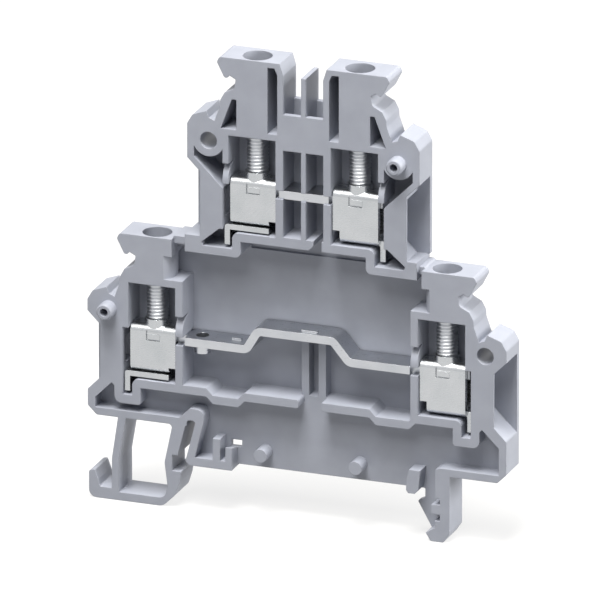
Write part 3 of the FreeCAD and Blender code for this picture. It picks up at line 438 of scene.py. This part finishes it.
cleaned = bmesh.new()
cleaned.from_mesh(housing.data)
bmesh.ops.remove_doubles(cleaned, verts=cleaned.verts, dist=SLIVER_MM * MM)
bmesh.ops.dissolve_degenerate(cleaned, edges=cleaned.edges, dist=SLIVER_MM * MM)
bmesh.ops.triangulate(cleaned, faces=[f for f in cleaned.faces if len(f.verts) > 3])
print("open edges:", sum(not e.is_manifold for e in cleaned.edges))
cleaned.to_mesh(housing.data)
cleaned.free()


# %% Let it take the housing's place
def coat(mesh, material):
    """Gives every face of a new mesh this material."""
    mesh.materials.clear()
    mesh.materials.append(material)
    mesh.polygons.foreach_set("material_index", [0] * len(mesh.polygons))


coat(housing.data, polyamide)
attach(housing, "block")
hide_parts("housing")
print(housing.name, len(housing.data.polygons), "faces")

# %% [markdown]
# ## Screws with a real thread
#
# A rolled M3 thread has a pitch of 0.5 mm. Its depth is 0.6134 of the pitch, and its crests are flats of an
# eighth of it; to keep the outline simple, so are its roots here. The neatest way to make it is to draw the
# zigzag of all its teeth once, along the axis, and to spin that line one full turn while it climbs by one
# pitch: each tooth then lands on the next one, and merging the doubles closes the helix. Two cuts make the
# ends flat, which is why the line starts below the shank and ends above it.

# %% Spinning a line
TURN_STEPS = 48


def spun(shape, line, climb=0.0):
    """Spins a line of (radius, height) points, in mm, about z. It climbs by this many mm in the turn."""
    verts = [shape.verts.new(Vector((r, 0, z)) * MM) for r, z in line]
    edges = [shape.edges.new(pair) for pair in zip(verts, verts[1:])]
    bmesh.ops.spin(shape, geom=verts + edges, cent=(0, 0, 0), axis=(0, 0, 1),
                   dvec=(0, 0, climb * MM / TURN_STEPS), angle=math.tau, steps=TURN_STEPS,
                   use_merge=climb == 0.0)
    bmesh.ops.remove_doubles(shape, verts=shape.verts, dist=MERGE_MM * MM)


print("one turn has", TURN_STEPS, "steps")

# %% Thread sizes
PITCH = 0.5
THREAD_DEPTH = 0.6134 * PITCH
CREST = 1.47
ROOT = CREST - THREAD_DEPTH
FLAT = PITCH / 8
LEAD_IN = 1.5
SPARE_TEETH = 2
CUT_MM = 0.0001
RIM_MM = 0.01
print("thread root radius, mm:", round(ROOT, 3))


# %% Thread
def thread(bottom, top):
    """The threaded shank, cut flat and closed at both ends."""
    shape = bmesh.new()
    line = []
    teeth = math.ceil((top - bottom) / PITCH) + SPARE_TEETH
    for i in range(teeth):
        z = bottom + (i - LEAD_IN) * PITCH
        line += [(ROOT, z), (ROOT, z + FLAT)]
        line += [(CREST, z + PITCH / 2 - FLAT / 2), (CREST, z + PITCH / 2 + FLAT / 2)]
    line.append((ROOT, bottom + (teeth - LEAD_IN) * PITCH))
    spun(shape, line, PITCH)
    for height, outwards in ((bottom, -1), (top, 1)):
        everything = shape.verts[:] + shape.edges[:] + shape.faces[:]
        bmesh.ops.bisect_plane(shape, geom=everything, dist=CUT_MM * MM, plane_co=(0, 0, height * MM),
                               plane_no=(0, 0, outwards), clear_outer=True)
        open_edges = [e for e in shape.edges if e.is_boundary]
        rim = [e for e in open_edges if abs(e.verts[0].co.z - height * MM) < RIM_MM * MM]
        bmesh.ops.contextual_create(shape, geom=rim)
    bmesh.ops.recalc_face_normals(shape, faces=shape.faces)
    return shape


print("thread maker ready")

# %% [markdown]
# The head, the core and the plain tip come from a second outline, spun without climbing. The head's edge is
# rounded by one point between its side and its top. A bar takes the slot out of the head. It is longer than
# the head is wide, and half of its height lies above the top face, so that the cut is clean.

# %% Sizes of the head, the tip and the slot
TIP = 1.1
TIP_LENGTH = 0.5
TIP_EDGE = 0.1
SHOULDER = 0.05
CORE_GAP = 0.02
HEAD = 1.7
HEAD_EDGE = 0.22
EDGE_IN, EDGE_DOWN = 0.06, 0.07
SLOT = 0.6
SLOT_DEPTH = 0.9
SLOT_LENGTH = 4 * HEAD
print("slot, mm:", SLOT, "wide and", SLOT_DEPTH, "deep")


# %% Head and tip
def head_and_tip(seat, top):
    """The plain tip, the core and the head in one closed outline. The seat is the underside of the head."""
    shape = bmesh.new()
    core = ROOT - CORE_GAP
    tip = [(0, 0), (TIP - TIP_EDGE, 0), (TIP, TIP_EDGE), (TIP, TIP_LENGTH)]
    shank = [(core, TIP_LENGTH + SHOULDER), (core, seat)]
    side = [(HEAD, seat), (HEAD, top - HEAD_EDGE), (HEAD - EDGE_IN, top - EDGE_DOWN)]
    spun(shape, tip + shank + side + [(HEAD - HEAD_EDGE, top), (0, top)])
    bmesh.ops.recalc_face_normals(shape, faces=shape.faces)
    return shape


print("head maker ready")

# %% Slot
def slot_bar(top):
    """The bar that cuts the slot, with its middle at the height of the head's top."""
    shape = bmesh.new()
    bmesh.ops.create_cube(shape, size=1.0)
    bmesh.ops.scale(shape, vec=Vector((SLOT_LENGTH, SLOT, 2 * SLOT_DEPTH)) * MM, verts=shape.verts)
    bmesh.ops.translate(shape, vec=(0, 0, top * MM), verts=shape.verts)
    return placed("slot", mesh_of("slot", shape))


print("slot bar ready")

# %% [markdown]
# Each screw takes its place and its height from the CAD piece that it replaces. Its thread starts a little
# above the plain tip and ends a little below the head, as a rolled one does. Smooth shading suits the round
# faces; edges sharper than 35 degrees stay crisp.

# %% Four screws
STATIONS = ("upper_left", "upper_right", "lower_left", "lower_right")
HEAD_HEIGHT = 1.8
THREAD_ABOVE_TIP = 0.12
THREAD_BELOW_HEAD = 0.25
CRISP_FROM = 35.0


def screw(name):
    """A screw in the place of a CAD screw, on the same axis and of the same height."""
    low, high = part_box(name)
    height = (high.z - low.z) / MM
    seat = height - HEAD_HEIGHT
    piece = placed(name + "_threaded", mesh_of(name + "_body", head_and_tip(seat, height)))
    finished = carve(piece, [("DIFFERENCE", slot_bar(height))])
    shape = thread(TIP_LENGTH + THREAD_ABOVE_TIP, seat - THREAD_BELOW_HEAD)
    shape.from_mesh(finished)
    foot = Vector(((low.x + high.x) / 2, (low.y + high.y) / 2, low.z))
    bmesh.ops.translate(shape, vec=foot, verts=shape.verts)
    shape.to_mesh(finished)
    shape.free()
    piece.data = finished
    coat(finished, zinc_screw)
    finished.polygons.foreach_set("use_smooth", [True] * len(finished.polygons))
    finished.set_sharp_from_angle(angle=math.radians(CRISP_FROM))
    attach(piece, name.replace("clamp_screw", "screw"))
    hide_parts(name)
    print(piece.name, len(finished.polygons), "faces, height", round(height, 2), "mm")


for station in STATIONS:
    screw("clamp_screw_" + station)

# %% [markdown]
# ## Floor and world
#
# The photograph is a cut-out on plain white, so the ground has to be white and the light still has to model
# the block. A Light Path node keeps the two apart. What looks at the floor or the world directly, or in a
# mirror or through glass, sees white, and the floor adds the shadow of the block to it. What only takes
# light from them gets less: a mid grey floor and a dim sky, so that deep places stay dark. Both need the
# same test, so one function makes it.

# %% A switch between seen and unseen rays
def seen_or_not(tree, seen, unseen):
    """Mixes two shaders: one for camera, mirror and glass rays, one for rays that only bring light."""
    path = add(tree, "ShaderNodeLightPath")
    mirror = add(tree, "ShaderNodeMath", {"operation": "MAXIMUM"})
    tree.links.new(path.outputs["Is Glossy Ray"], mirror.inputs[0])
    tree.links.new(path.outputs["Is Transmission Ray"], mirror.inputs[1])
    direct = add(tree, "ShaderNodeMath", {"operation": "MAXIMUM"})
    tree.links.new(path.outputs["Is Camera Ray"], direct.inputs[0])
    tree.links.new(mirror.outputs["Value"], direct.inputs[1])
    blend = add(tree, "ShaderNodeMixShader", Fac=direct.outputs["Value"])
    tree.links.new(unseen, blend.inputs[1])
    tree.links.new(seen, blend.inputs[2])
    return blend.outputs["Shader"]


print("switch ready")

# %% [markdown]
# The floor that is seen is partly paper and partly a glow of its own. Paper alone would have to be so pale
# that the lamps make it brighter than white, and the plated faces that mirror it would lose their form. With
# the glow, it comes out just white, and the paper's share still darkens in the shadow.

# %% Floor
FLOOR_GAP = 0.05
FLOOR_HALF = 2000.0
FLOOR_GLOW = 0.75

floor_shape = bmesh.new()
bmesh.ops.create_grid(floor_shape, x_segments=1, y_segments=1, size=FLOOR_HALF * MM)
bmesh.ops.translate(floor_shape, vec=(0, 0, cad_low.z - FLOOR_GAP * MM), verts=floor_shape.verts)
floor = placed("floor", mesh_of("floor", floor_shape))

paper = bpy.data.materials.new("white_paper_floor")
paper.use_nodes = True
tree = paper.node_tree
tree.nodes.clear()
unseen_paper = add(tree, "ShaderNodeBsdfDiffuse", Color=linear("#8C8C8C"))
seen_paper = add(tree, "ShaderNodeBsdfDiffuse", Color=linear("#7C7C7C"))
glow = add(tree, "ShaderNodeEmission", Color=linear("#FFFFFF"), Strength=FLOOR_GLOW)
glowing_paper = add(tree, "ShaderNodeAddShader")
tree.links.new(seen_paper.outputs["BSDF"], glowing_paper.inputs[0])
tree.links.new(glow.outputs["Emission"], glowing_paper.inputs[1])
switch = seen_or_not(tree, glowing_paper.outputs["Shader"], unseen_paper.outputs["BSDF"])
add(tree, "ShaderNodeOutputMaterial", Surface=switch)
floor.data.materials.append(paper)
print("floor at, mm:", round(floor.data.vertices[0].co.z / MM, 2))

# %% World
SKY = 0.06
BACKDROP = 1.0

world = bpy.data.worlds.new("studio")
world.use_nodes = True
tree = world.node_tree
tree.nodes.clear()
sky = add(tree, "ShaderNodeBackground", Color=linear("#F8F9FF"), Strength=SKY)
backdrop = add(tree, "ShaderNodeBackground", Color=linear("#FFFFFF"), Strength=BACKDROP)
switch = seen_or_not(tree, backdrop.outputs["Background"], sky.outputs["Background"])
add(tree, "ShaderNodeOutputWorld", Surface=switch)
bpy.context.scene.world = world
print("world:", len(tree.nodes), "nodes")

# %% [markdown]
# ## Lamps
#
# Four square softboxes stand 0.9 m from the block, so that their light is even from its top to its foot.
# The strong one is almost overhead: it makes the top faces nearly white and leaves the shaded walls mid
# grey, as in the photograph. One high in front fills the open side, and one low at the right lights the ends
# of the ears. A weak one behind lights the flat back, which the photograph does not show. Their light is a
# trace warm, because the pale faces of the photograph are more neutral than its shaded ones.

# %% Lamps
LAMP_DISTANCE = 900.0
LAMP_COLOUR = "#FFFDF8"


def lamp(name, azimuth, elevation, size, watts):
    """A square soft lamp that faces the block. Angles are in degrees, and its size is in mm."""
    data = bpy.data.lights.new(name, "AREA")
    data.shape = "SQUARE"
    data.size = size * MM
    data.energy = watts
    data.color = linear(LAMP_COLOUR)[:3]
    aim(placed(name, data), azimuth, elevation, LAMP_DISTANCE)
    print(name, "azimuth", azimuth, "elevation", elevation, "power", watts, "W")


lamp("top_softbox", 3, 76, 330, 12.0)
lamp("front_softbox", -4, 55, 440, 5.0)
lamp("right_softbox", 91, 20, 440, 9.5)
lamp("back_softbox", 176, 4, 440, 2.4)

# %% [markdown]
# ## View
#
# The Standard view transform shows each colour as it is written.

# %% View settings
bpy.context.scene.view_settings.view_transform = "Standard"
